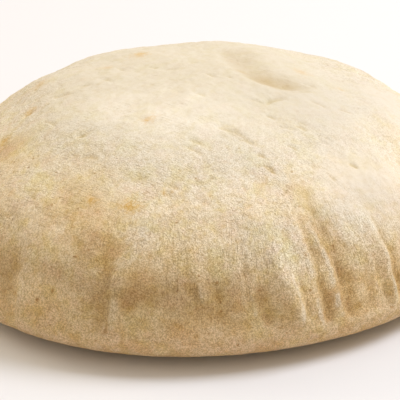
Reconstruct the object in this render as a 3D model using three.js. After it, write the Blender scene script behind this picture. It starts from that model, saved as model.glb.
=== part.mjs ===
// A puffed pita bread: one round, domed loaf with a rolled rim, a band of radial folds
// where the side turns up into the dome, and a dent in the top.
// Units are millimetres, +Z is up, and a bearing of 0 is the front, -Y, with +X at 90 degrees.
import * as THREE from 'three';

// Driving dimensions
const breadWidth = 180.7; // across the rim
const breadHeight = 65.1; // table to the top of the dome
const rimHeight = 12; // where the rim stands out furthest
const restShare = 0.62; // radius of the flat that it rests on, as a share of the rim's
const sideLift = 0.548; // how far the side climbs steeply, as a share of the dome's height
const crownShare = 0.541; // how far the nearly level crown reaches, as a share of the rim's radius
const colour = 0xe2c79b;

// How many steps the round and each stretch of the profile take
const aroundSteps = 214;
const flatSteps = 1;
const underSteps = 4;
const sideSteps = 10;
const crownSteps = 13;
const sideEnd = 0.36; // where the fine steps of the side stop, along the dome's curve

// The outline isn't quite round: waves per turn, their height as a share of the radius, and
// the bearing of a crest
const outlineWaves = [
  { count: 2, share: 0.0092, crest: 63.5 },
  { count: 3, share: 0.0099, crest: -35.3 },
  { count: 4, share: 0.0017, crest: -38.4 },
  { count: 5, share: 0.0011, crest: -24.8 },
];

// The side draws in a little above the rolled rim, between these heights
const waist = { depth: 1.25, foot: [8.5, 16.5], head: [22, 35] };

const folds = {
  rise: 3.2, // height over which a fold deepens above its foot
  steady: 0.2, // share of its length before it starts to fade
  leftSlope: 1.5, // how much gentler a rounded valley is on its left
  rightSlope: 1.3, // how much gentler a sharp one is on its right
  ridgeAt: 1.45, // distance of the ridge from the valley, in widths of the valley
  hollowShare: 0.3, // a broad hollow lies around each fold
  hollowWidth: 2.8,
  narrowest: 2.2, // half width that the mesh can still show
};

// The folds at the front, from left to right: bearing and height where each starts and ends, its depth
// (a ridge's is below 0), its half width and the height of the ridge on its right. A sharp one has no
// hollow around it
const frontFolds = [
  { foot: [-41, 14], head: [-40.4, 44], depth: 0.7, width: 2.6, ridge: 0.5 },
  { foot: [-31, 16], head: [-32.3, 34], depth: 0.3, width: 2.2, ridge: 0, sharp: true },
  { foot: [-20.2, 13], head: [-19.8, 42], depth: 0.75, width: 1.9, ridge: 0.6 },
  { foot: [-19.4, 30], head: [-17.5, 50], depth: 0.5, width: 3.4, ridge: 0 },
  { foot: [-14, 18], head: [-14.5, 34], depth: 0.45, width: 3.6, ridge: 0.1 },
  { foot: [-8.5, 18], head: [-8.5, 34], depth: 0.4, width: 3, ridge: 0.1 },
  { foot: [-1.6, 22], head: [-5, 38], depth: 0.45, width: 1.7, ridge: 0.5 },
  { foot: [2.4, 16], head: [0.4, 42], depth: 0.45, width: 2.8, ridge: 0.2 },
  { foot: [8.9, 20], head: [7, 46], depth: 0.25, width: 2.2, ridge: 0, sharp: true },
  { foot: [11.7, 14], head: [10, 36], depth: 0.6, width: 2.2, ridge: 0, sharp: true },
  { foot: [14.4, 14], head: [12.5, 32], depth: 0.5, width: 3, ridge: 0 },
  { foot: [18.6, 12.5], head: [13.4, 42], depth: -1.6, width: 2.7, ridge: 0 },
  { foot: [20.2, 14], head: [18.3, 40], depth: 0.5, width: 2.2, ridge: 0, sharp: true },
  { foot: [24.4, 12], head: [22.2, 48], depth: 0.95, width: 2.2, ridge: 0, sharp: true },
  { foot: [29.4, 12], head: [26.6, 48], depth: 1.5, width: 2.4, ridge: 0, sharp: true },
  { foot: [27.6, 28], head: [23.4, 54], depth: 0.5, width: 2.2, ridge: 0, sharp: true },
  { foot: [33.4, 12], head: [34.8, 38], depth: 0.5, width: 1.8, ridge: 0.15 },
  { foot: [38.2, 13], head: [35.6, 36], depth: 0.45, width: 2.2, ridge: 0, sharp: true },
  { foot: [40, 12.5], head: [38, 38], depth: -0.9, width: 1.4, ridge: 0 },
  { foot: [41.6, 12], head: [39.6, 44], depth: 0.9, width: 2.2, ridge: 0, sharp: true },
  { foot: [45, 13], head: [44, 38], depth: 0.5, width: 1.8, ridge: 0.2 },
];

// The folds of the sides and the back are drawn between these limits
const drawnFolds = {
  from: 48.5,
  to: 314,
  gap: [3.4, 8.5],
  foot: [12, 17],
  length: [14, 28],
  lean: [-3.5, 1.5],
  depth: [0.2, 0.9],
  width: [1.5, 3.0],
  ridge: [0, 0.7],
};

// The dent lies on the left of its lip, a curve in plan, and is deepest just behind it
const dent = {
  lip: [[5, 26], [3, -4], [15, -28], [42, -11]],
  depth: 3.9,
  drop: 6, // how far the near wall reaches
  far: [1, 17], // distances from the lip between which the floor rises again
  ends: [0.35, 0.76], // shares of the lip between which the dent has its full depth
  lipHeight: 0.4,
  lipWidth: 3.2,
  lipInside: 0.4, // its width on the side of the dent, as a share of the other side's
  reach: 45, // nothing further than this from the middle is dented
};

// Low swells all over the dome
const swells = { count: 7, height: 0.22, length: [24, 62], foot: 20, full: 40 };

const rimRadius = breadWidth / 2;

// The same draws on every run
function makeDraw(seed) {
  let state = seed;
  return function draw([low, high]) {
    state = (state * 1664525 + 1013904223) % 4294967296;
    return low + ((high - low) * state) / 4294967296;
  };
}

function smoothStep(low, high, value) {
  return THREE.MathUtils.smoothstep(value, low, high);
}

function bell(value) {
  return Math.exp(-value * value);
}

// Half of the section: flat, rolled underside and domed top, from axis to axis
function makeProfile() {
  const restRadius = restShare * rimRadius;
  const domeRise = breadHeight - rimHeight;
  const under = new THREE.CubicBezierCurve(
    new THREE.Vector2(restRadius, 0),
    new THREE.Vector2((restRadius + 3 * rimRadius) / 4, 0),
    new THREE.Vector2(rimRadius, 0.35 * rimHeight),
    new THREE.Vector2(rimRadius, rimHeight),
  );
  const dome = new THREE.CubicBezierCurve(
    new THREE.Vector2(rimRadius, rimHeight),
    new THREE.Vector2(rimRadius, rimHeight + sideLift * domeRise),
    new THREE.Vector2(crownShare * rimRadius, breadHeight),
    new THREE.Vector2(0, breadHeight),
  );
  const points = [];
  for (let i = 0; i < flatSteps; i++) points.push(new THREE.Vector2((restRadius * i) / flatSteps, 0));
  for (let i = 0; i < underSteps; i++) points.push(under.getPoint(i / underSteps));
  for (let i = 0; i < sideSteps; i++) points.push(dome.getPoint((sideEnd * i) / sideSteps));
  for (let i = 0; i <= crownSteps; i++) {
    points.push(dome.getPoint(sideEnd + ((1 - sideEnd) * i) / crownSteps));
  }
  return points;
}

// The hand-placed folds at the front, and drawn ones round the rest
function makeFolds() {
  const draw = makeDraw(7);
  const all = [...frontFolds];
  let bearing = drawnFolds.from;
  while (bearing < drawnFolds.to) {
    const foot = draw(drawnFolds.foot);
    const length = draw(drawnFolds.length);
    const end = bearing + draw(drawnFolds.lean);
    all.push({
      foot: [bearing, foot],
      head: [end, foot + length],
      depth: draw(drawnFolds.depth),
      width: draw(drawnFolds.width),
      ridge: draw(drawnFolds.ridge),
    });
    bearing += draw(drawnFolds.gap);
  }
  return all;
}

function makeSwells() {
  const draw = makeDraw(842);
  return Array.from({ length: swells.count }, () => {
    const way = draw([0, Math.PI]);
    const length = draw(swells.length);
    return { x: Math.cos(way), y: Math.sin(way), turn: (2 * Math.PI) / length, start: draw([0, 2 * Math.PI]) };
  });
}

function outlineScale(bearing) {
  let scale = 1;
  for (const wave of outlineWaves) {
    scale += wave.share * Math.cos(wave.count * THREE.MathUtils.degToRad(bearing - wave.crest));
  }
  return scale;
}

// How far the surface stands out or in at a point of the side
function foldRelief(allFolds, bearing, radius, height) {
  let relief = 0;
  for (const fold of allFolds) {
    const [startBearing, foot] = fold.foot;
    const [endBearing, head] = fold.head;
    const along = (height - foot) / (head - foot);
    const risen = smoothStep(-2, folds.rise, height - foot);
    const strength = risen * (1 - smoothStep(folds.steady, 1.2, along));
    if (strength === 0) continue;
    const share = THREE.MathUtils.clamp(along, -0.2, 1.3);
    const line = THREE.MathUtils.lerp(startBearing, endBearing, share);
    const turn = ((bearing - line + 540) % 360) - 180;
    const across = (THREE.MathUtils.degToRad(turn) * radius) / Math.max(fold.width, folds.narrowest);
    if (Math.abs(across) > 9) continue;
    const left = fold.sharp ? 1 : folds.leftSlope;
    const right = fold.sharp ? folds.rightSlope : 1;
    const valley = bell(across / (across < 0 ? left : right));
    const hollow = fold.sharp ? 0 : folds.hollowShare * bell(across / folds.hollowWidth);
    const ridge = fold.ridge * bell(across - folds.ridgeAt);
    relief += strength * (ridge - fold.depth * (valley + hollow));
  }
  return relief;
}

function waistRelief(height) {
  return -waist.depth * smoothStep(...waist.foot, height) * (1 - smoothStep(...waist.head, height));
}

// Points along the lip of the dent, each with its direction
function makeLip() {
  const lip = new THREE.CubicBezierCurve(...dent.lip.map(([x, y]) => new THREE.Vector2(x, y)));
  return Array.from({ length: 80 }, (_, i) => {
    const along = i / 79;
    return { place: lip.getPoint(along), way: lip.getTangent(along), along };
  });
}

function dentRelief(lip, x, y) {
  if (Math.hypot(x, y) > dent.reach) return 0;
  const point = new THREE.Vector2(x, y);
  const near = lip.reduce((best, next) =>
    next.place.distanceToSquared(point) < best.place.distanceToSquared(point) ? next : best,
  );
  const side = near.way.cross(new THREE.Vector2().subVectors(point, near.place)) < 0 ? -1 : 1;
  const inside = side * near.place.distanceTo(point);
  const ends = smoothStep(0, dent.ends[0], near.along) * (1 - smoothStep(dent.ends[1], 1, near.along));
  const bowl = (1 - bell(Math.max(inside, 0) / dent.drop)) * (1 - smoothStep(...dent.far, inside));
  const lipWidth = dent.lipWidth * (inside < 0 ? 1 : dent.lipInside);
  return (dent.lipHeight * bell(inside / lipWidth) - dent.depth * bowl) * ends;
}

function swellRelief(allSwells, x, y, height) {
  let relief = 0;
  for (const swell of allSwells) {
    relief += swells.height * Math.cos(swell.turn * (swell.x * x + swell.y * y) + swell.start);
  }
  return relief * smoothStep(swells.foot, swells.full, height);
}

function makePita() {
  const geometry = new THREE.LatheGeometry(makeProfile(), aroundSteps);
  geometry.rotateX(Math.PI / 2);
  const allFolds = makeFolds();
  const allSwells = makeSwells();
  const lip = makeLip();
  const position = geometry.attributes.position;
  const normal = geometry.attributes.normal;
  const point = new THREE.Vector3();
  const outward = new THREE.Vector3();
  for (let i = 0; i < position.count; i++) {
    point.fromBufferAttribute(position, i);
    outward.fromBufferAttribute(normal, i);
    const radius = Math.hypot(point.x, point.y);
    const bearing = THREE.MathUtils.radToDeg(Math.atan2(point.x, -point.y));
    const onTop = point.z > rimHeight;
    const relief = onTop
      ? foldRelief(allFolds, bearing, radius, point.z) +
        waistRelief(point.z) +
        swellRelief(allSwells, point.x, point.y, point.z)
      : 0;
    const drop = onTop ? dentRelief(lip, point.x, point.y) : 0;
    if (radius > 1e-6) point.addScaledVector(outward, relief);
    else point.z += relief;
    point.z += drop;
    const scale = outlineScale(bearing);
    if (radius > 1e-6) position.setXYZ(i, point.x * scale, point.y * scale, point.z);
    else position.setXYZ(i, 0, 0, point.z);
  }
  return geometry;
}

function standOnOrigin(geometry) {
  geometry.computeBoundingBox();
  const box = geometry.boundingBox;
  geometry.translate(-(box.min.x + box.max.x) / 2, -(box.min.y + box.max.y) / 2, -box.min.z);
  geometry.computeVertexNormals();
  return geometry;
}

const crust = new THREE.MeshStandardMaterial({ color: colour, roughness: 0.9, metalness: 0 });
const pita = new THREE.Mesh(standOnOrigin(makePita()), crust);
pita.name = 'pita';

const group = new THREE.Group();
group.add(pita);

export default group;
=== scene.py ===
import math

import bpy
import numpy as np
from mathutils import Matrix, Vector


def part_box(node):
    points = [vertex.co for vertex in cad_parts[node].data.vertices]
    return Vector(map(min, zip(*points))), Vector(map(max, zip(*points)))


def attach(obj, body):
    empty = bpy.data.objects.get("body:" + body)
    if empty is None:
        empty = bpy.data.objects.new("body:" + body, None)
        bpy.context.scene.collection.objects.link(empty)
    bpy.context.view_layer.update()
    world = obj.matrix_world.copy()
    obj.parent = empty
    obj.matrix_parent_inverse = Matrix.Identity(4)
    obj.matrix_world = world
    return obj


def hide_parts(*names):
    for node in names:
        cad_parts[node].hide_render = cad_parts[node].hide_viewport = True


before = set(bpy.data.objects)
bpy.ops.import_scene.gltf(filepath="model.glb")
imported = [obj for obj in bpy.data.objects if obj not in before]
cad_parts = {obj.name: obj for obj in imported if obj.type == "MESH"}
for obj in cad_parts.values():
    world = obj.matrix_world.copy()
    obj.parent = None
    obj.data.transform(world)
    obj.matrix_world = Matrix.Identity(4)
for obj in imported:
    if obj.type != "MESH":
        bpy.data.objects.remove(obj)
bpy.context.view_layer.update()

pitaLow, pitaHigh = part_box("pita")
mm = 0.001  # the shape is worked out in millimetres, and Blender's unit is the metre
print("frame loaded: bread", [round((b - a) / mm, 1) for a, b in zip(pitaLow, pitaHigh)], "mm")

# a bearing of 0 is the front, -Y, and 90 is +X
bread = {
    "width": 180.7,
    "height": 65.1,
    "rimHeight": 12.0,  # where the rim stands out furthest
    "restShare": 0.62,  # radius of the flat underside, as a share of the rim's
    "underLift": 0.35,  # how upright the curve below the rim is
    "sideLift": 0.548,  # how upright the side is
    "crownShare": 0.541,  # how flat the crown is
    "spacing": 0.6,  # between mesh points on the top
    "underSpacing": 1.2,  # and below the next height
    "underHeight": 1.0,
    "fewest": 9,  # points round the smallest ring; a larger one has this times a power of 2
    # waves of the outline: how many, height as a share of the radius, and bearing of a crest
    "outlineWaves": [(2, 0.0092, 63.5), (3, 0.0099, -35.3), (4, 0.0017, -38.4), (5, 0.0011, -24.8)],
    "waistDepth": 1.25,  # the side draws in a little above the rolled rim
    "waistFoot": (8.5, 16.5),
    "waistHead": (22, 35),
    "waistVary": 3.5,  # its top edge wanders by this much
    "waistVarySize": 15,
}
rimRadius = bread["width"] / 2


def smoothStep(low, high, value):
    t = np.clip((value - low) / (high - low), 0, 1)
    return t * t * (3 - 2 * t)


def bell(value):
    return np.exp(-value * value)


# how much of a round spot each point gets: 1 in its middle and a little over a third at its radius
def spot(points, place, radius):
    return bell(np.linalg.norm(points - np.array(place), axis=1) / radius)


# which points lie within a distance of a place, along X and along Y
def around(x, y, place, distance):
    return (np.abs(x - place[0]) < distance) & (np.abs(y - place[1]) < distance)


# points from their bearings, radii and heights
def placeAt(bearing, radius, height):
    turn = np.radians(bearing)
    return np.stack([radius * np.sin(turn), -radius * np.cos(turn), height], axis=1)


# the same draws on every run
def makeDraw(seed):
    state = [seed]

    def draw(limits):
        state[0] = (state[0] * 1664525 + 1013904223) % 4294967296
        return limits[0] + (limits[1] - limits[0]) * state[0] / 4294967296

    return draw


corners = np.array([[x, y, z] for x in (0, 1) for y in (0, 1) for z in (0, 1)])
gradients = np.random.default_rng(5).normal(size=(256, 3))
gradients /= np.linalg.norm(gradients, axis=1)[:, None]


# a smooth random field of about -1 to 1, with features of the given size
def noiseAt(points, size, seed, stretch=(1, 1, 1)):
    place = points / (size * np.array(stretch)) + 17.3 * seed
    cell = np.floor(place).astype(np.int64)
    part = place - cell
    fade = part * part * part * (part * (part * 6 - 15) + 10)
    total = np.zeros(len(points))
    for corner in corners:
        c = cell + corner
        mixed = (c[:, 0] * 73856093) ^ (c[:, 1] * 19349663) ^ (c[:, 2] * 83492791) ^ (seed * 2654435761)
        mixed = (mixed ^ (mixed >> 13)) & 0xFFFFFFFF
        mixed = (mixed * 1274126177) & 0xFFFFFFFF
        slope = gradients[(mixed >> 16) & 255]
        weight = np.prod(np.where(corner, fade, 1 - fade), axis=1)
        total += weight * np.sum(slope * (part - corner), axis=1)
    return 1.7 * total


def bezier(a, b, c, d, t):
    t = t[:, None]
    a, b, c, d = (np.array(p, float) for p in (a, b, c, d))
    return (1 - t) ** 3 * a + 3 * (1 - t) ** 2 * t * b + 3 * (1 - t) * t * t * c + t ** 3 * d


# points on the curve, an even step apart
def evenly(curve, step):
    along = np.concatenate([[0], np.cumsum(np.linalg.norm(np.diff(curve, axis=0), axis=1))])
    count = max(2, int(round(along[-1] / step)) + 1)
    wanted = np.linspace(0, along[-1], count)
    return np.stack([np.interp(wanted, along, curve[:, axis]) for axis in (0, 1)], axis=1)


# half of the section, from the middle of the underside out round the rim and up to the crown
def makeProfile():
    t = np.linspace(0, 1, 2000)
    rest, rim, top = bread["restShare"] * rimRadius, bread["rimHeight"], bread["height"]
    rimPoint, underLift = (rimRadius, rim), bread["underLift"] * rim
    sideLift, crown = rim + bread["sideLift"] * (top - rim), bread["crownShare"] * rimRadius
    flat = np.array([[0.0, 0.0], [rest, 0.0]])
    under = bezier((rest, 0), ((rest + 3 * rimRadius) / 4, 0), (rimRadius, underLift), rimPoint, t)
    dome = bezier(rimPoint, (rimRadius, sideLift), (crown, top), (0, top), t)
    flat = evenly(flat, 2 * bread["underSpacing"])
    under = evenly(under, bread["underSpacing"])
    return np.concatenate([flat[:-1], under[:-1], evenly(dome, bread["spacing"])])


folds = {
    "seed": 7,
    "rise": (-2, 3.2),  # heights above its foot between which a fold deepens
    "fade": (0.2, 1.2),  # shares of its length between which it fades
    "beyond": (-0.2, 1.3),  # shares of its length between which it keeps to its slanting line
    "reach": 9,  # it ends this far from that line, in widths
    "leftSlope": 1.5,  # how much gentler a rounded valley is on its left
    "rightSlope": 1.7,  # how much gentler a sharp one is on its right
    "sharpWidth": 2,  # how wide the walls of a sharp one are, in widths
    "ridgeAt": 1.4,  # distance of the ridge from the valley, in widths
    "ridgeWidth": (0.36, 1.5),  # on its left and on its right
    "ridgeFade": (0.2, 0.85),  # shares of a fold's length between which its ridge fades
    "highlightAt": -1.5,  # a sharp valley has a painted highlight on its left, the side turned to the light, in widths
    "highlightWidth": 0.6,
    "highlightEdge": 0.5,
    "broken": 2,  # the painted highlights come and go by this much
    "brokenSize": 2.5,
    "shadeAt": 0.7,  # a sharp valley has a band of painted shade on its right, the side turned from the light
    "shadeWidth": 1.8,
    "shade": 0.3,
    "raised": 0.2,  # how floury a fold that stands up is
    "hollow": 0.3,  # a broad hollow lies around each fold
    "hollowWidth": 2.8,
    "hollowLoss": 0.8,  # share of it that a sharp valley goes without
    "waver": 0.8,
    "waverSize": 7,
    "waverLeast": 5,  # the wavering is held down within this radius of the crown
    "patchy": 0.5,  # share of the depth that comes and goes along a fold
    "patchSize": 5,
    # bearing and height of the foot, the same of the head, depth (of a ridge: below 0), half width,
    # height of the ridge on its right, and how sharp the valley is
    "front": [
        (-41, 14, -40.4, 44, 0.7, 2.6, 0.5, 0),
        (-31, 16, -32.3, 34, 0.4, 1.8, 0, 0.8),
        (-20.2, 13, -19.8, 42, 0.75, 1.9, 0.6, 0),
        (-19.4, 30, -17.5, 50, 0.5, 3.4, 0, 0),
        (-14, 18, -14.5, 34, 0.45, 3.6, 0.1, 0),
        (-8.5, 18, -8.5, 34, 0.4, 3, 0.1, 0),
        (-1.6, 22, -5, 38, 0.45, 1.7, 0.5, 0),
        (2.4, 16, 0.4, 42, 0.45, 2.8, 0.2, 0),
        (8.9, 20, 7, 46, 0.45, 1, 0, 0.9),
        (11.7, 14, 10, 36, 0.9, 1.5, 0, 0.9),
        (14.4, 14, 12.5, 32, 0.5, 3, 0, 0),
        (18.6, 12.5, 13.4, 42, -1.6, 2.7, 0, 0),
        (20.2, 14, 18.3, 40, 0.8, 1.2, 0, 1),
        (24.4, 12, 22.2, 48, 1.4, 1.4, 0, 1),
        (29.4, 12, 26.6, 48, 1.9, 1.9, 0, 1),
        (27.6, 28, 23.4, 54, 0.6, 1.6, 0, 0.8),
        (33.4, 12, 34.8, 38, 0.6, 1.8, 0.15, 0.5),
        (38.2, 13, 35.6, 36, 0.7, 1.2, 0, 1),
        (40, 12.5, 38, 38, -1.1, 1.4, 0, 0),
        (41.6, 12, 39.6, 44, 1.3, 1.5, 0, 1),
        (45, 13, 44, 38, 0.5, 1.8, 0.2, 0.5),
        (31.4, 30, 28, 45, 0.4, 0.7, 0, 1),
        (28.5, 35, 24.6, 50, 0.35, 0.7, 0, 1),
        (34, 35, 33.2, 48, 0.25, 0.7, 0, 1),
        (-19.3, 11, -18.6, 21, 0.5, 0.5, 0, 1),
    ],
    # limits of the drawn ones round the sides and the back
    "from": 48.5,
    "to": 314,
    "gap": (3.4, 8.5),
    "foot": (12, 17),
    "length": (14, 28),
    "lean": (-3.5, 1.5),
    "depth": (0.2, 0.9),
    "width": (1.5, 3.0),
    "ridge": (0, 0.7),
}


def makeFolds():
    draw = makeDraw(folds["seed"])
    made = list(folds["front"])
    bearing = folds["from"]
    while bearing < folds["to"]:
        foot, length = draw(folds["foot"]), draw(folds["length"])
        end = bearing + draw(folds["lean"])
        depth, width, crest = draw(folds["depth"]), draw(folds["width"]), draw(folds["ridge"])
        pinch = 1 - crest / folds["ridge"][1]
        made.append((bearing, foot, end, foot + length, depth, width, crest, pinch))
        bearing += draw(folds["gap"])
    return made


# how deep the valleys are and how high the ridges at each point, in millimetres, and the painted shade
# and painted highlights their colours get besides
def foldRelief(bearing, radius, height):
    valley, ridge, shade, highlightEdge = (np.zeros(len(bearing)) for _ in range(4))
    for startTurn, foot, endTurn, head, depth, width, crest, pinch in makeFolds():
        along = (height - foot) / (head - foot)
        line = startTurn + (endTurn - startTurn) * np.clip(along, *folds["beyond"])
        aside = (bearing - line + 540) % 360 - 180  # in degrees, the short way round
        across = np.radians(aside) * radius / width
        strength = smoothStep(*folds["rise"], height - foot) * (1 - smoothStep(*folds["fade"], along))
        strength = np.where(np.abs(across) < folds["reach"], strength, 0)
        rounded = bell(across / np.where(across < 0, folds["leftSlope"], 1))
        wall = folds["sharpWidth"] * np.where(across < 0, 1, folds["rightSlope"])
        sharp = np.clip(1 - np.abs(across) / wall, 0, 1) ** 2
        wide = folds["hollow"] * bell(across / folds["hollowWidth"]) * (1 - folds["hollowLoss"] * pinch)
        valley += depth * (rounded * (1 - pinch) + sharp * pinch + wide) * strength
        crestEnd = 1 - smoothStep(*folds["ridgeFade"], along)
        away = across - folds["ridgeAt"]
        crestShape = bell(away / np.where(away < 0, *folds["ridgeWidth"]))
        ridge += crest * crestShape * np.minimum(strength, crestEnd)
        amount = pinch * max(depth, 0) * strength
        shade += folds["shade"] * amount * bell((across - folds["shadeAt"]) / folds["shadeWidth"])
        highlightEdge += folds["highlightEdge"] * amount * bell((across - folds["highlightAt"]) / folds["highlightWidth"])
    return valley, ridge, shade, highlightEdge


def waistRelief(points, height):
    high = height + bread["waistVary"] * noiseAt(points, bread["waistVarySize"], 9)
    drawnIn = smoothStep(*bread["waistFoot"], height) * (1 - smoothStep(*bread["waistHead"], high))
    return -bread["waistDepth"] * drawnIn


# the dent lies on the left of its lip, a curve in plan, and is deepest just behind it
dent = {
    "lip": [(5, 26), (3, -4), (15, -28), (42, -11)],
    "middle": (20, 0),
    "reach": 45,  # it ends this far from its middle, along X and along Y
    "depth": 3.9,
    "drop": 6,  # how far behind the lip it takes to get deep
    "far": (1, 17),  # distances behind the lip between which it gets shallow again
    "ends": (0.35, 0.76),  # shares of the lip's length between which it is deepest
    "lipHeight": 0.4,
    "lipWidth": (3.2, 1.28),  # in front of the lip and behind it
    "shadeAt": 6.5,  # its painted shade, partly browned crust, is strongest this far behind the lip
    "shadeReach": (4, 6.5),  # and reaches this far to either side of there
    "shadeEnds": (0.13, 0.8),
    "core": (0.3, 0.62),  # how far along the lip the painted shade grows to its full strength
    "coreShare": 0.5,  # and by which share of it
}


# signed distance from a curve in plan, positive on its left, and how far along it the nearest point is
def fromCurve(x, y, curve):
    t = np.linspace(0, 1, 80)
    line = bezier(*curve, t)
    way = np.gradient(line, axis=0)
    way /= np.linalg.norm(way, axis=1)[:, None]
    gap = (x[:, None] - line[:, 0]) ** 2 + (y[:, None] - line[:, 1]) ** 2
    near = gap.argmin(axis=1)
    side = way[near, 0] * (y - line[near, 1]) - way[near, 1] * (x - line[near, 0])
    return np.sqrt(gap.min(axis=1)) * np.where(side < 0, -1, 1), t[near]


# grows from the start of a line up to the first share of its length, and fades from the second on
def fadeEnds(shares, along):
    return smoothStep(0, shares[0], along) * (1 - smoothStep(shares[1], 1, along))


# the relief of the dent, and how much of its painted shade, partly browned crust, each point gets
def dentRelief(x, y):
    relief, amount = np.zeros(len(x)), np.zeros(len(x))
    near = around(x, y, dent["middle"], dent["reach"])
    inside, along = fromCurve(x[near], y[near], dent["lip"])
    bowl = (1 - bell(np.maximum(inside, 0) / dent["drop"])) * (1 - smoothStep(*dent["far"], inside))
    lip = bell(inside / np.where(inside < 0, *dent["lipWidth"]))
    relief[near] = (dent["lipHeight"] * lip - dent["depth"] * bowl) * fadeEnds(dent["ends"], along)
    away = inside - dent["shadeAt"]
    shade = bell(away / np.where(away < 0, *dent["shadeReach"])) * fadeEnds(dent["shadeEnds"], along)
    amount[near] = shade * (1 - dent["coreShare"] * (1 - smoothStep(*dent["core"], along)))
    return relief, amount


# low waves of the top, which grow between two heights
swells = {"seed": 842, "count": 7, "height": 0.22, "length": (24, 62), "rise": (20, 40)}


def swellRelief(x, y, height):
    draw = makeDraw(swells["seed"])
    relief = np.zeros(len(x))
    for _ in range(swells["count"]):
        way = draw((0, math.pi))
        turn = 2 * math.pi / draw(swells["length"])
        start = draw((0, 2 * math.pi))
        relief += swells["height"] * np.cos(turn * (math.cos(way) * x + math.sin(way) * y) + start)
    return relief * smoothStep(*swells["rise"], height)


# broad bulges of the dome: place, radius and height
bulges = [
    (54, 29, 50.5, 14, 1.3),
    (-50, 16, 54, 14, 1.2),
]

creases = {
    "seed": 31,
    # ends in plan, depth and half width of the plainest ones
    "placed": [
        (20.4, -25.2, 27.4, -20.2, 0.7, 0.9),
        (28.3, -17, 41, -11.8, 0.4, 0.7),
        (4, -40, 16, -47, 0.6, 0.8),
        (16.6, -51, 20, -52.3, 0.8, 0.7),
        (18.5, -55, 22.5, -58, 0.95, 0.9),
        (25.8, -45, 29.8, -47.2, 0.7, 0.55),
        (11.8, -45.2, 16.8, -47.7, 0.6, 0.6),
        (30, -51.9, 35.1, -52.1, 0.4, 0.5),
        (37.8, -53.3, 40.8, -54.9, 0.45, 0.5),
        (44.8, -41.2, 47.6, -41.9, 0.5, 0.5),
        (35.7, -40.4, 39.6, -41, 0.35, 0.5),
        (24, -61.9, 26, -63.4, 0.5, 0.5),
        (11.4, -63.1, 13.4, -64.4, 0.5, 0.5),
        (20, -31, 24, -33, 0.6, 0.7),
        (-37, -44, -30, -48.5, 0.55, 0.7),
        (-37, -39, -34, -40.5, 0.5, 0.6),
        (-40, -42, -37.5, -43.5, 0.5, 0.6),
        (13, -70, 17, -67.5, 0.4, 0.6),
        (17.5, -63, 20, -60.5, 0.4, 0.5),
        (28.5, -66, 33, -66, 0.4, 0.6),
        (44.4, -46.1, 47.8, -46.8, 0.8, 0.55),
        (-57, -10, -53, -8, 0.8, 1.0),
        (-49.5, -21, -44.5, -28.5, 0.55, 0.55),
        (-22, -58, -15, -60, 0.5, 1.8),
        (-11, -62, -6, -64, 0.7, 0.8),
        (-11, -64, -9, -66, 0.6, 0.8),
        (-4, -45, 1, -48, 0.6, 0.8),
        (42, -21, 48, -22, 0.5, 0.8),
        (29, -34, 33, -37, 0.6, 0.8),
    ],
    "count": 150,
    "plan": 86,  # they are drawn inside this radius
    "way": (-60, 5),  # degrees from +X
    "length": (2.5, 9),
    "depth": (0.12, 0.5),
    "width": (0.55, 0.9),
    "reach": 9,  # one ends this far from its middle, along X and along Y
    "bow": 0.12,  # how far it bows out, as a share of its length
    "start": (-0.1, 0.3),  # shares of its length between which it deepens
    "end": (0.6, 1.1),  # and between which it fades
}


def makeCreases():
    draw = makeDraw(creases["seed"])
    made = list(creases["placed"])
    for _ in range(creases["count"]):
        bearing, radius = math.radians(draw((0, 360))), creases["plan"] * math.sqrt(draw((0, 1)))
        x, y = radius * math.sin(bearing), -radius * math.cos(bearing)
        way, length = math.radians(draw(creases["way"])), draw(creases["length"])
        ends = (x, y, x + length * math.cos(way), y + length * math.sin(way))
        made.append(ends + (draw(creases["depth"]), draw(creases["width"])))
    return made


def creaseRelief(x, y):
    relief = np.zeros(len(x))
    for x0, y0, x1, y1, depth, width in makeCreases():
        near = around(x, y, ((x0 + x1) / 2, (y0 + y1) / 2), creases["reach"])
        length = math.hypot(x1 - x0, y1 - y0)
        wx, wy = (x1 - x0) / length, (y1 - y0) / length
        along = ((x[near] - x0) * wx + (y[near] - y0) * wy) / length
        across = (y[near] - y0) * wx - (x[near] - x0) * wy
        bow = creases["bow"] * length * (1 - (2 * along - 1) ** 2)
        ends = smoothStep(*creases["start"], along) * (1 - smoothStep(*creases["end"], along))
        relief[near] -= depth * bell((across - bow) / width) * ends
    return relief


# what is finer than the folds: wrinkles between them and a lumpy, pitted crust
crust = {
    "wrinkle": 0.13,
    "wrinkleSize": 2.4,
    "wrinkleStretch": 3.2,  # they are longer up the side by this much
    "wrinkleFoot": (13, 22),
    "wrinkleHead": (34, 54),
    "lumps": [(0.22, 5.5, 2), (0.14, 2.6, 3), (0.09, 1.4, 4)],  # height, size and seed
    "lumpFoot": (1, 8),  # heights between which they grow
    "streakStretch": 6,  # the streaks of colour up the side are longer by this much
}


def crustRelief(points, bearing, height):
    onDrum, stretch = placeAt(bearing, rimRadius, height), (1, 1, crust["wrinkleStretch"])
    band = smoothStep(*crust["wrinkleFoot"], height) * (1 - smoothStep(*crust["wrinkleHead"], height))
    relief = crust["wrinkle"] * noiseAt(onDrum, crust["wrinkleSize"], 1, stretch) * band
    for rise, size, seed in crust["lumps"]:
        relief += rise * noiseAt(points, size, seed) * smoothStep(*crust["lumpFoot"], height)
    return relief


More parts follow.
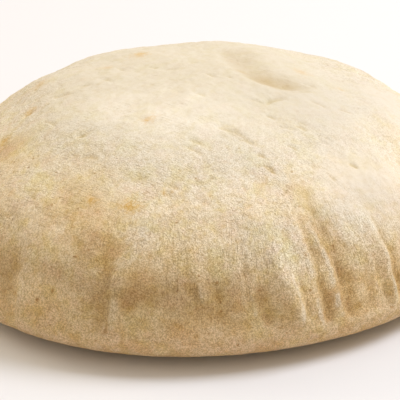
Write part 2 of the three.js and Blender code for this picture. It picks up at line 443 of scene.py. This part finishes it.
# broad floury (positive) and tan (negative) areas: place on the smooth dome, radius and amount
patches = {
    "seed": 5,
    "placed": [
        (-34, -66, 41, 14, -0.9),
        (-43, -51, 48, 15, -0.5),
        (-58, -28, 49, 12, -0.5),
        (-58, -49, 41, 12, -0.3),
        (-13, -83, 28, 10, -0.4),
        (-18, -74, 39, 6, 0.7),
        (26, -78, 30, 7, 1.0),
        (-12, -31, 61, 13, 0.7),
        (-26, -20, 61, 11, 0.4),
        (2, -38, 60, 11, 0.6),
        (16, -80, 35, 9, 0.9),
        (42, -72, 33, 12, 0.7),
        (56, -62, 33, 11, 1.2),
        (50, -55, 43, 15, 0.6),
        (-52, -49, 44, 9, 0.6),
        (-51, -73, 22, 9, 1.0),
        (-40, -80, 22, 6, 0.5),
        (50, -75, 15, 13, 0.5),
        # the next one darkens the dent's floor: partly browned crust, partly painted shade
        (20.7, -9, 63.5, 5, -0.5),
        (32, -80, 28, 9, 1.0),
        (13.3, -2.5, 64.5, 2.2, -0.6),
        (-10, -78.5, 36.5, 3, -0.5),
        (-24, -76, 36.5, 3, -0.6),
        (-4, -79.5, 36, 2.2, -0.5),
        (-16.5, -74, 41, 3, 0.5),
        (-43, -66, 38, 4, 0.5),
        (51, -69, 24, 5, -0.5),
        (25, -81, 30, 4, 0.8),
        (28, -84, 23, 3, 0.6),
        (55.8, -69, 22, 3.5, 1.0),
        (-22.5, -85.4, 23, 3, -1.0),
        (-50.5, -75, 12.5, 3, -0.6),
        (30.5, -73.7, 36.6, 1.8, -0.9),
        (34.5, -70.7, 37.8, 3.5, -0.8),
        (37.5, -73.5, 32.5, 4, -1.3),
        (-19.4, -83, 28, 5, -0.7),
        (47.3, -70.2, 30, 3, -1.3),
        (-33, -74.2, 35, 5, -0.3),
        (-62.4, -24.6, 47.3, 6, -0.8),
        (6.2, -70.4, 44.7, 8, 0.4),
        (46, -66, 35, 11, 0.9),
        (25.2, -77, 35, 5, 0.5),
        (-29.5, -75.5, 34.5, 5, -0.4),
        (-53.3, -70, 20, 6, 0.6),
    ],
    "count": 22,
    "bearings": (60, 300),
    "along": (0, 0.5),
    "radius": (8, 17),
    "amount": (-0.9, 0.8),
    "ragged": 0.3,
    "raggedSize": 7,
}


# the placed rows, and others drawn on the dome by a bearing, a share of the way up it and the limits
# that are named
def drawPlaces(plan, dome, *limits):
    draw = makeDraw(plan["seed"])
    made = list(plan["placed"])
    for _ in range(plan["count"]):
        bearing, share = math.radians(draw(plan["bearings"])), draw(plan["along"])
        radius, height = dome[int(share * (len(dome) - 1))]
        place = (radius * math.sin(bearing), -radius * math.cos(bearing), height)
        made.append(place + tuple(draw(plan[name]) for name in limits))
    return made


def patchAmount(points, dome):
    total = np.zeros(len(points))
    ragged = 1 + patches["ragged"] * noiseAt(points, patches["raggedSize"], 7)
    for *place, radius, amount in drawPlaces(patches, dome, "radius", "amount"):
        total += amount * spot(points, place, radius / ragged)
    return total


# where the crust is less coarse and darkened by painted shade: place, radius and amount
smoothAreas = [
    (42, -22, 57, 22, 0.65),
    (50, -50, 45, 20, 0.95),
    (62, -2, 49, 22, 0.95),
    (47, -66, 35, 11, 0.25),
    (-20, 60, 50, 24, 0.4),
]


def smoothAmount(points):
    amount = np.zeros(len(points))
    for *place, radius, strength in smoothAreas:
        amount = np.maximum(amount, strength * spot(points, place, radius))
    return amount


# browned spots: place on the smooth dome, radius and strength
toasts = {
    "seed": 12,
    "placed": [
        (-21.4, -66.6, 45.3, 2.2, 1.0),
        (-19, -66.8, 45.8, 1.3, 0.7),
        (-23.7, -66.1, 45.3, 1.3, 0.6),
        (-32.7, -61.5, 45.5, 1.2, 1.0),
        (-11.3, -64.2, 48.5, 0.8, 0.7),
        (-8.6, -64.2, 49, 0.6, 0.5),
        (-16, -33, 60, 1.6, 0.6),
        (-19, 18, 63, 2.4, 0.6),
        (-63, -18, 48, 2.2, 0.8),
        (-55, -7, 54, 2.2, 0.6),
        (-52, 11, 55, 2.4, 0.5),
        (-30, 10, 62, 1.6, 0.35),
        (33, 3, 61, 2.0, 0.35),
        (45, -5, 58, 1.1, 0.35),
        (18.7, -61.2, 49.2, 2.2, 0.16),
        (31.1, -59.8, 47, 2.6, 0.16),
    ],
    "count": 26,
    "bearings": (60, 290),
    "along": (0.05, 0.42),  # share of the way up the dome
    "radius": (0.8, 2.4),
    "strength": (0.25, 0.9),
    "ragged": 0.7,
    "raggedSize": 1.0,
}


def toastAmount(points, dome):
    amount = np.zeros(len(points))
    ragged = 1 + toasts["ragged"] * noiseAt(points, toasts["raggedSize"], 6)
    for *place, radius, strength in drawPlaces(toasts, dome, "radius", "strength"):
        amount = np.maximum(amount, strength * spot(points, place, radius / ragged))
    return amount


# small holes in the crust: place and radius
holes = [
    (-45.5, -75.7, 22.9, 0.75),
    (-50.3, -74.2, 19.1, 0.7),
    (3, -78, 36, 0.7),
    (-60, 40, 40, 0.8),
    (30, 76, 36, 0.8),
    (70, 30, 38, 0.7),
]


def holeAmount(points):
    amount = np.zeros(len(points))
    for *place, radius in holes:
        amount += spot(points, place, radius)
    return amount


def outlineScale(bearing):
    scale = np.ones(len(bearing))
    for count, share, crest in bread["outlineWaves"]:
        scale += share * np.cos(count * np.radians(bearing - crest))
    return scale


# rings of points, with half as many round a ring where it is small enough
def makeRings(profile):
    fewest = bread["fewest"]
    fullCount = fewest * 2 ** math.ceil(math.log2(2 * math.pi * rimRadius / bread["spacing"] / fewest))
    rings, starts, total = [], [], 0
    for radius, height in profile:
        spacing = bread["spacing"] if height > bread["underHeight"] else bread["underSpacing"]
        count = fullCount
        while count > fewest and count / 2 >= 2 * math.pi * radius / spacing:
            count //= 2
        if radius < 1e-6:
            count = 1
        rings.append((radius, height, count))
        starts.append(total)
        total += count
    return rings, starts, total


def joinRings(lower, upper, lowerStart, upperStart):
    a, b = lowerStart + np.arange(lower), upperStart + np.arange(upper)
    aNext, bNext = np.roll(a, -1), np.roll(b, -1)
    if lower == 1:
        return [(a[0], bNext[i], b[i]) for i in range(upper)]
    if upper == 1:
        return [(a[i], aNext[i], b[0]) for i in range(lower)]
    if lower == upper:
        return list(zip(a, aNext, bNext, b))
    if lower < upper:
        return [f for i in range(lower) for f in (
            (a[i], aNext[i], bNext[2 * i], b[2 * i]),
            (aNext[i], bNext[2 * i + 1], bNext[2 * i]))]
    return [f for i in range(upper) for f in (
        (a[2 * i], a[2 * i + 1], b[i]),
        (a[2 * i + 1], aNext[2 * i + 1], bNext[i], b[i]))]


# the bread before its relief: bearing, radius, height and way along the section of each point, how
# far the surface faces out and up there, and the faces
def turnProfile(profile):
    rings, starts, total = makeRings(profile)
    slope = np.gradient(profile, axis=0)
    slope /= np.linalg.norm(slope, axis=1)[:, None]
    steps = np.linalg.norm(np.diff(profile, axis=0, prepend=profile[:1]), axis=1)
    bearing, radius, height, reach, out, up = (np.zeros(total) for _ in range(6))
    for (r, h, count), start, (dr, dh), along in zip(rings, starts, slope, np.cumsum(steps)):
        part = slice(start, start + count)
        bearing[part] = 360 * np.arange(count) / count - 180
        radius[part], height[part], reach[part] = r, h, along
        onAxis = (0, 1 if h > bread["rimHeight"] else -1)
        out[part], up[part] = (dh, -dr) if count > 1 else onAxis
    faces = []
    for i in range(len(rings) - 1):
        faces += joinRings(rings[i][2], rings[i + 1][2], starts[i], starts[i + 1])
    return bearing, radius, height, reach, out, up, faces


# the points moved and stretched so that they just fill the box of the solid
def fillBox(points):
    low, high = points.min(axis=0), points.max(axis=0)
    size = np.array(pitaHigh) - np.array(pitaLow)
    return (points - low) / (high - low) * size + np.array(pitaLow)


def makeBread():
    profile = makeProfile()
    bearing, radius, height, reach, out, up, faces = turnProfile(profile)
    plain = placeAt(bearing, radius, height)  # the points before their relief
    onTop = height > bread["rimHeight"]
    waver = folds["waver"] * noiseAt(plain, folds["waverSize"], 8)
    wavering = bearing + np.degrees(waver / np.maximum(radius, folds["waverLeast"]))
    valley, ridge, shade, highlightEdge = foldRelief(wavering, radius, height)
    comeAndGo = 1 + folds["patchy"] * noiseAt(plain, folds["patchSize"], 10)
    relief = (ridge - valley) * comeAndGo + waistRelief(plain, height)
    relief += swellRelief(plain[:, 0], plain[:, 1], height)
    for *place, size, rise in bulges:
        relief += rise * spot(plain, place, size)
    relief = np.where(onTop, relief, 0) + crustRelief(plain, bearing, height)
    drop, dentShade = dentRelief(plain[:, 0], plain[:, 1])
    crease = creaseRelief(plain[:, 0], plain[:, 1])
    radius = (radius + out * relief) * outlineScale(bearing)
    height = height + up * relief + np.where(onTop, drop + crease, 0)
    points = fillBox(placeAt(bearing, radius, height))
    # the valley mark also carries painted shade beside the sharp valleys, and the ridge mark painted
    # highlights on their lit edges
    valley = (valley + shade) * comeAndGo
    highlightEdge *= np.clip(1 + folds["broken"] * noiseAt(plain, folds["brokenSize"], 11), 0, 2)
    ridge = (ridge + highlightEdge) * comeAndGo + folds["raised"] * np.maximum(-valley, 0)
    # the crease mark gives painted shade in the creases
    marks = {"valley": valley, "ridge": ridge, "crease": -crease, "dent": dentShade}
    marks = {name: np.where(onTop, values, 0) for name, values in marks.items()}
    dome = profile[profile[:, 1] > bread["rimHeight"]]
    marks["patch"] = patchAmount(plain, dome)
    marks["smooth"] = smoothAmount(plain)
    marks["hole"] = holeAmount(plain)
    marks["toast"] = toastAmount(plain, dome)
    # where the streaks up the side are drawn: round a drum and along the section
    upSide = placeAt(bearing, rimRadius, reach / crust["streakStretch"]) * mm
    return points, faces, marks, upSide, bakePlaces(faces, bearing, reach, plain[:, 2])


discs = {"top": 0.365, "under": 0.21}  # radii, as shares of a baked picture


# where each face corner lies in a baked picture: the top is one disc and the underside a smaller one
def bakePlaces(faces, bearing, reach, height):
    counts = np.array([len(face) for face in faces])
    corner = np.array([int(i) for face in faces for i in face])
    firsts = np.cumsum(counts) - counts
    middle = np.add.reduceat(height[corner], firsts) / counts
    above = np.repeat(middle > bread["rimHeight"], counts)
    rim, crown = np.interp(bread["rimHeight"], height, reach), reach.max()
    share = np.where(above, (crown - reach[corner]) / (crown - rim), reach[corner] / rim)
    centre = np.where(above, discs["top"], 1 - discs["under"])
    out = share * np.where(above, discs["top"], discs["under"])
    turn = np.radians(bearing[corner])
    side = np.where(above, 1, -1) * np.sin(turn)
    return np.stack([centre + out * side, centre - out * np.cos(turn)], axis=1)


def makeMesh(name, points, faces):
    mesh = bpy.data.meshes.new(name)
    mesh.from_pydata(points.tolist(), [], [tuple(int(i) for i in f) for f in faces])
    mesh.shade_smooth()
    mesh.update()
    piece = bpy.data.objects.new(name, mesh)
    bpy.context.scene.collection.objects.link(piece)
    return piece


points, faces, marks, upSide, baked = makeBread()
skin = makeMesh("bread", points, faces)
for name, values in marks.items():
    kept = skin.data.attributes.new(name, "FLOAT", "POINT")
    kept.data.foreach_set("value", values.astype(np.float32))
kept = skin.data.attributes.new("upSide", "FLOAT_VECTOR", "POINT")
kept.data.foreach_set("vector", upSide.astype(np.float32).ravel())
bakeMap = skin.data.uv_layers.new(name="OFBake")
bakeMap.data.foreach_set("uv", baked.astype(np.float32).ravel())
print("bread made:", len(points), "points,", len(faces), "faces")


class Socket:
    def __init__(self, tree, socket):
        self.tree = tree
        self.socket = socket

    def math(self, operation, *values):
        return self.tree.add("ShaderNodeMath", {"operation": operation}, values)

    def __add__(self, other):
        return self.math("ADD", self, other)

    def __mul__(self, other):
        return self.math("MULTIPLY", self, other)

    def __sub__(self, other):
        return self.math("SUBTRACT", self, other)

    def __rsub__(self, other):
        return self.math("SUBTRACT", other, self)

    def __abs__(self):
        return self.math("ABSOLUTE", self)

    __radd__ = __add__
    __rmul__ = __mul__


class Shader:
    def __init__(self, name):
        self.material = bpy.data.materials.new(name)
        self.material.use_nodes = True
        self.nodes = self.material.node_tree.nodes
        self.links = self.material.node_tree.links
        self.principled = self.nodes["Principled BSDF"]

    # a node of a type, with its settings and the values or links of its sockets
    def add(self, kind, settings=None, inputs=(), output=0):
        node = self.nodes.new(kind)
        for key, value in (settings or {}).items():
            setattr(node, key, value)
        pairs = inputs.items() if isinstance(inputs, dict) else enumerate(inputs)
        for key, value in pairs:
            self.feed(node.inputs[key], value)
        return Socket(self, node.outputs[output])

    def feed(self, socket, value):
        if isinstance(value, Socket):
            self.links.new(value.socket, socket)
        else:
            socket.default_value = value

    def mix(self, factor, first, second, blend="MIX"):
        settings = {"data_type": "RGBA", "blend_type": blend}
        return self.add("ShaderNodeMix", settings, {0: factor, 6: first, 7: second}, 2)

    # multiplies a colour by another, by as much as the factor says
    def tint(self, base, factor, second):
        return self.mix(factor, base, second, "MULTIPLY")

    def noise(self, place, size, detail=2, roughness=0.5, distortion=0):
        inputs = {"Vector": place, "Scale": 1 / (size * mm), "Detail": detail}
        inputs.update({"Roughness": roughness, "Distortion": distortion})
        return self.add("ShaderNodeTexNoise", {}, inputs)

    # a value kept on the points of the mesh
    def mark(self, name):
        return self.add("ShaderNodeAttribute", {"attribute_name": name}, output=2)

    # goes smoothly from the first to the last as the value goes from low to high
    def step(self, value, low, high, first=0, last=1):
        inputs = {"Value": value, "From Min": low, "From Max": high, "To Min": first, "To Max": last}
        return self.add("ShaderNodeMapRange", {"interpolation_type": "SMOOTHSTEP"}, inputs)


def colour(red, green, blue):
    return (red, green, blue, 1)


# a key with Step or Limits in it holds what step takes: low and high, and maybe first and last
crustFinish = {
    "cream": colour(0.76, 0.68, 0.525),
    "tan": colour(0.62, 0.46, 0.245),
    "creamStep": (16, 55),  # heights between which the tan turns to cream
    "drift": 16,  # how far they wander
    "driftSize": 16.67,
    # rings round the side: height, reach and what multiplies the colour there
    "rings": [
        # painted shade: a darker band above the rim, where the side turns from the light
        (25, 8, colour(0.89, 0.84, 0.785)),
        # painted bounce light from the floor on the rolled rim, partly a paler crust there
        (9, 9, colour(1.08, 1.05, 1.14)),
        (42, 20, colour(1.225, 1.187, 1.13)),
        (66, 16, colour(0.96, 0.945, 0.91)),
    ],
    "ringDrift": 10,
    "ringStep": (0, 1, 1, 0),  # they don't show where it is floury
    "unevenStep": (44, 64, 1, 0.3),  # by height, how uneven the colour is
    "smoothUneven": 0.3,  # and which share of that is left in the smooth areas
    # faint areas: what multiplies the colour there, their size, detail, roughness and limits
    "mottles": [
        (colour(0.96, 0.975, 0.82), 7, 3, 0.65, (0.42, 0.72)),  # olive
        (colour(1.0, 0.94, 0.95), 5, 3, 0.65, (0.45, 0.75)),  # pink
        (colour(0.955, 0.915, 0.84), 3.5, 2, 0.5, (0.47, 0.68)),  # golden
    ],
    "smooth": colour(0.885, 0.88, 0.90),  # painted shade: darkens the colour of the smooth areas, most of them on the right of the dome where the light falls strongest
    "drop": colour(0.95, 0.89, 0.79),  # and of broad areas near the foot
    "dropSize": 9,
    "dropLimits": (0.48, 0.62),
    "dropStep": (18, 34, 1, 0),
    # what multiplies the colour where the points are marked: name, limits and colour
    "tints": [
        ("patch", (0, 1), colour(1.145, 1.15, 1.175)),  # floury areas
        ("patch", (1.1, 2.3), colour(1.06, 1.10, 1.15)),  # the flouriest ones
        ("patch", (0, -1), colour(0.93, 0.85, 0.68)),  # browned areas
        ("patch", (-0.6, -1.4), colour(0.90, 0.86, 0.86)),  # the brownest ones
        # painted shade in the creases
        ("crease", (0.1, 0.8), colour(0.88, 0.825, 0.68)),
        # darker, more orange tan in the fold hollows, partly the crust's colour and partly painted
        # shade, with the painted shade beside the sharp valleys
        ("valley", (0.1, 1.2), colour(0.86, 0.785, 0.64)),
    ],
    "dent": colour(0.82, 0.75, 0.625),  # painted shade in the dent, partly browned crust: multiplies the colour there
    "flour": colour(0.86, 0.755, 0.565),  # lies on the ridges, and paints the highlights on the lit edges of the sharp valleys
    "flourStep": (0.1, 0.9, 0, 0.4),
    "blotch": colour(0.92, 0.88, 0.80),  # multiplies the colour of small blotches
    "blotchSize": 1.3,
    "blotchLimits": (0.45, 0.65),
    "wrinkle": colour(0.88, 0.85, 0.79),  # multiplies the colour of the fine wrinkles and streaks
    "wrinkleDepth": 0.6,  # and how deep they are, as a share of the bump
    "wrinkleWay": -38,  # the wrinkles run this way in plan, in degrees from +X
    "wrinkleSize": 0.5,
    "wrinkleStretch": 7,
    "wrinkleLimits": (0.5, 0.68),
    "wrinkleStep": (18, 40, 0.1, 0.9),  # by height
    "wrinkledSize": 9,  # they come and go
    "wrinkledLimits": (0.34, 0.6),
    "streakSize": 0.5,  # the streaks run up the side
    "streakFootStep": (14, 24),
    "streakHeadStep": (36, 50, 1, 0),
    "streakedSize": 12,  # and come and go too
    "streakedLimits": (0.4, 0.62, 0.25, 1),
    "speck": colour(0.875, 0.85, 0.805),  # multiplies the colour of the small dark specks
    "dust": colour(1.13, 1.145, 1.185),  # and of the floury ones between them
    "speckSize": 0.38,
    "speckLimits": (0.47, 0.62),
    "coarseStep": (52, 62, 1.35, 0.15),  # by height, how strong specks, pits and grain are
    "coarserStep": (26, 46, 0.9, 0),  # and how much stronger the specks of the side
    "ridgeCoarse": 0.8,  # and what the ridges add
    "pit": colour(0.70, 0.58, 0.44),  # multiplies the colour of the sparse dark pits and the holes
    "pitSize": 1.6,
    "pitLimits": (0.80, 0.87, 0, 0.7),
    "holeLimits": (0.2, 0.8),
    "toast": colour(0.72, 0.435, 0.115),
    "toastLimits": (0.38, 0.6, 0.6, 1.2),  # the specks break up the toasted spots
    "roughness": 0.85,
    "grain": 1.1,
    "grainSize": 0.5,
    "bump": 0.3,
}


# tan at the foot and cream above, with lighter and darker rings, some of them painted shade and painted
# bounce light
def ringedColour(shader, place, height):
    drift = shader.noise(place, crustFinish["driftSize"], 3) - 0.5
    top = shader.step(height + drift * crustFinish["drift"], *crustFinish["creamStep"])
    base = shader.mix(top, crustFinish["tan"], crustFinish["cream"])
    bare = shader.step(shader.mark("patch"), *crustFinish["ringStep"])
    for middle, reach, tint in crustFinish["rings"]:
        away = abs(height - middle) + drift * crustFinish["ringDrift"]
        base = shader.tint(base, shader.step(away, 0, reach, 1, 0) * bare, tint)
    return base


# faint and broad areas, the dent, the creases and the folds
def areaColour(shader, base, place, height, uneven):
    for tint, size, detail, roughness, limits in crustFinish["mottles"]:
        mottle = shader.noise(place, size, detail, roughness)
        base = shader.tint(base, shader.step(mottle, *limits) * uneven, tint)
    # painted shade on the smooth areas, toning down where the light falls strongest
    base = shader.tint(base, shader.mark("smooth"), crustFinish["smooth"])
    broad = shader.step(shader.noise(place, crustFinish["dropSize"]), *crustFinish["dropLimits"])
    low = shader.step(height, *crustFinish["dropStep"])
    base = shader.tint(base, broad * low, crustFinish["drop"])
    for name, limits, tint in crustFinish["tints"]:
        base = shader.tint(base, shader.step(shader.mark(name), *limits), tint)
    # painted shade in the dent, partly browned crust
    base = shader.tint(base, shader.mark("dent"), crustFinish["dent"])
    # floury ridges and the painted highlights on the lit edges of the sharp valleys
    flour = shader.step(shader.mark("ridge"), *crustFinish["flourStep"])
    return shader.mix(flour, base, crustFinish["flour"])


def topWrinkles(shader, place, height):
    turn = (0, 0, math.radians(crustFinish["wrinkleWay"]))
    inputs = {"Vector": place, "Rotation": turn, "Scale": (crustFinish["wrinkleStretch"], 1, 1)}
    turned = shader.add("ShaderNodeMapping", {"vector_type": "TEXTURE"}, inputs)
    fine = shader.step(shader.noise(turned, crustFinish["wrinkleSize"]), *crustFinish["wrinkleLimits"])
    broad = shader.noise(place, crustFinish["wrinkledSize"])
    wrinkled = shader.step(broad, *crustFinish["wrinkledLimits"])
    return fine * wrinkled * shader.step(height, *crustFinish["wrinkleStep"])


def sideStreaks(shader, place, height):
    upSide = shader.add("ShaderNodeAttribute", {"attribute_name": "upSide"}, output=1)
    fine = shader.step(shader.noise(upSide, crustFinish["streakSize"]), *crustFinish["wrinkleLimits"])
    broad = shader.noise(place, crustFinish["streakedSize"])
    streaked = shader.step(broad, *crustFinish["streakedLimits"])
    foot = shader.step(height, *crustFinish["streakFootStep"])
    return fine * streaked * foot * shader.step(height, *crustFinish["streakHeadStep"])


# blotches, wrinkles, streaks, holes, specks, pits and toasted spots
def fineColour(shader, base, place, height, uneven, coarse, wrinkle, streak):
    blotch = shader.noise(place, crustFinish["blotchSize"], 3, 0.6)
    blotch = shader.step(blotch, *crustFinish["blotchLimits"]) * uneven
    base = shader.tint(base, blotch, crustFinish["blotch"])
    base = shader.tint(base, wrinkle, crustFinish["wrinkle"])
    base = shader.tint(base, streak, crustFinish["wrinkle"])
    hole = shader.step(shader.mark("hole"), *crustFinish["holeLimits"])
    base = shader.tint(base, hole, crustFinish["pit"])
    speck = shader.noise(place, crustFinish["speckSize"], 1, 0.5, 1)
    for amount in (coarse, shader.step(height, *crustFinish["coarserStep"])):
        for value, tint in ((speck, "speck"), (1 - speck, "dust")):
            strength = shader.step(value, *crustFinish["speckLimits"]) * amount
            base = shader.tint(base, strength, crustFinish[tint])
    pit = shader.step(shader.noise(place, crustFinish["pitSize"], 0), *crustFinish["pitLimits"])
    base = shader.tint(base, pit * coarse, crustFinish["pit"])
    toast = shader.mark("toast") * shader.step(speck, *crustFinish["toastLimits"])
    return shader.mix(toast, base, crustFinish["toast"])


def makeCrust():
    shader = Shader("crust")
    place = shader.add("ShaderNodeTexCoord", output=3)
    height = shader.add("ShaderNodeSeparateXYZ", {}, (place,), 2) * (1 / mm)
    rough = 1 - shader.mark("smooth")
    lively = crustFinish["smoothUneven"] + rough * (1 - crustFinish["smoothUneven"])
    uneven = shader.step(height, *crustFinish["unevenStep"]) * lively
    coarse = shader.step(height, *crustFinish["coarseStep"]) * rough
    coarse = coarse + shader.mark("ridge") * crustFinish["ridgeCoarse"]
    wrinkle = topWrinkles(shader, place, height) * uneven
    streak = sideStreaks(shader, place, height) * lively
    base = ringedColour(shader, place, height)
    base = areaColour(shader, base, place, height, uneven)
    base = fineColour(shader, base, place, height, uneven, coarse, wrinkle, streak)
    shader.feed(shader.principled.inputs["Base Color"], base)
    shader.principled.inputs["Roughness"].default_value = crustFinish["roughness"]
    grain = shader.noise(place, crustFinish["grainSize"], 3, 0.65) * crustFinish["grain"]
    relief = grain * coarse - (wrinkle + streak) * crustFinish["wrinkleDepth"]
    inputs = {"Strength": 1.0, "Distance": crustFinish["bump"] * mm, "Height": relief}
    bump = shader.add("ShaderNodeBump", {}, inputs)
    shader.feed(shader.principled.inputs["Normal"], bump)
    return shader.material


skin.data.materials.append(makeCrust())
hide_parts("pita")
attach(skin, "root")
print("crust finished")

studio = {
    "floor": colour(0.82, 0.80, 0.77),
    "floorSize": 4.0,
    "floorRoughness": 0.9,
    "world": colour(1, 0.925, 0.83),
    "worldStrength": 0.68,
}


def makeFloor():
    half = studio["floorSize"] / 2
    square = [(-half, -half, 0), (half, -half, 0), (half, half, 0), (-half, half, 0)]
    floor = makeMesh("floor", np.array(square), [(0, 1, 2, 3)])
    shader = Shader("floor")
    shader.principled.inputs["Base Color"].default_value = studio["floor"]
    shader.principled.inputs["Roughness"].default_value = studio["floorRoughness"]
    floor.data.materials.append(shader.material)


def makeWorld():
    world = bpy.data.worlds.new("studio")
    world.use_nodes = True
    background = world.node_tree.nodes["Background"]
    background.inputs[0].default_value = studio["world"]
    background.inputs[1].default_value = studio["worldStrength"]
    bpy.context.scene.world = world
    bpy.context.scene.view_settings.view_transform = "Standard"


# bearing and height in degrees, distance and size in metres, power in watts
lights = {
    "key": {
        "bearing": 97,
        "height": 51,
        "distance": 1.6,
        "size": 0.7,
        "power": 17.2,
        "colour": (0.93, 1, 1.18),
    },
    "fill": {
        "bearing": -120,
        "height": 35,
        "distance": 1.6,
        "size": 0.7,
        "power": 4.6,
        "colour": (1, 0.88, 0.72),
    },
}


def makeLight(name, plan):
    lamp = bpy.data.lights.new(name, "AREA")
    lamp.size = plan["size"]
    lamp.energy = plan["power"]
    lamp.color = plan["colour"]
    light = bpy.data.objects.new(name, lamp)
    turn, rise = math.radians(plan["bearing"]), math.radians(plan["height"])
    way = Vector((math.sin(turn) * math.cos(rise), -math.cos(turn) * math.cos(rise), math.sin(rise)))
    light.location = way * plan["distance"]
    light.rotation_euler = way.to_track_quat("Z", "Y").to_euler()
    bpy.context.scene.collection.objects.link(light)


view = {
    "elevation": 23.5,
    "distance": 0.65,
    "aim": (-0.00128, -0.00231, 0.0187),
    "focal": 1968,  # in pixels of a frame of the next width
    "frameWidth": 400,
    "sensor": 36,
    "roll": 1.45,
}


def makeCamera():
    lens = bpy.data.cameras.new("camera")
    lens.sensor_width = view["sensor"]
    lens.lens = view["sensor"] * view["focal"] / view["frameWidth"]
    camera = bpy.data.objects.new("camera", lens)
    rise = math.radians(view["elevation"])
    back = Vector((0, -math.cos(rise), math.sin(rise)))
    turn = back.to_track_quat("Z", "Y").to_matrix().to_4x4()
    place = Matrix.Translation(back * view["distance"] + Vector(view["aim"]))
    camera.matrix_world = place @ turn @ Matrix.Rotation(math.radians(-view["roll"]), 4, "Z")
    bpy.context.scene.collection.objects.link(camera)
    bpy.context.scene.camera = camera


makeFloor()
makeWorld()
for name, plan in lights.items():
    makeLight(name, plan)
makeCamera()
print("studio made")
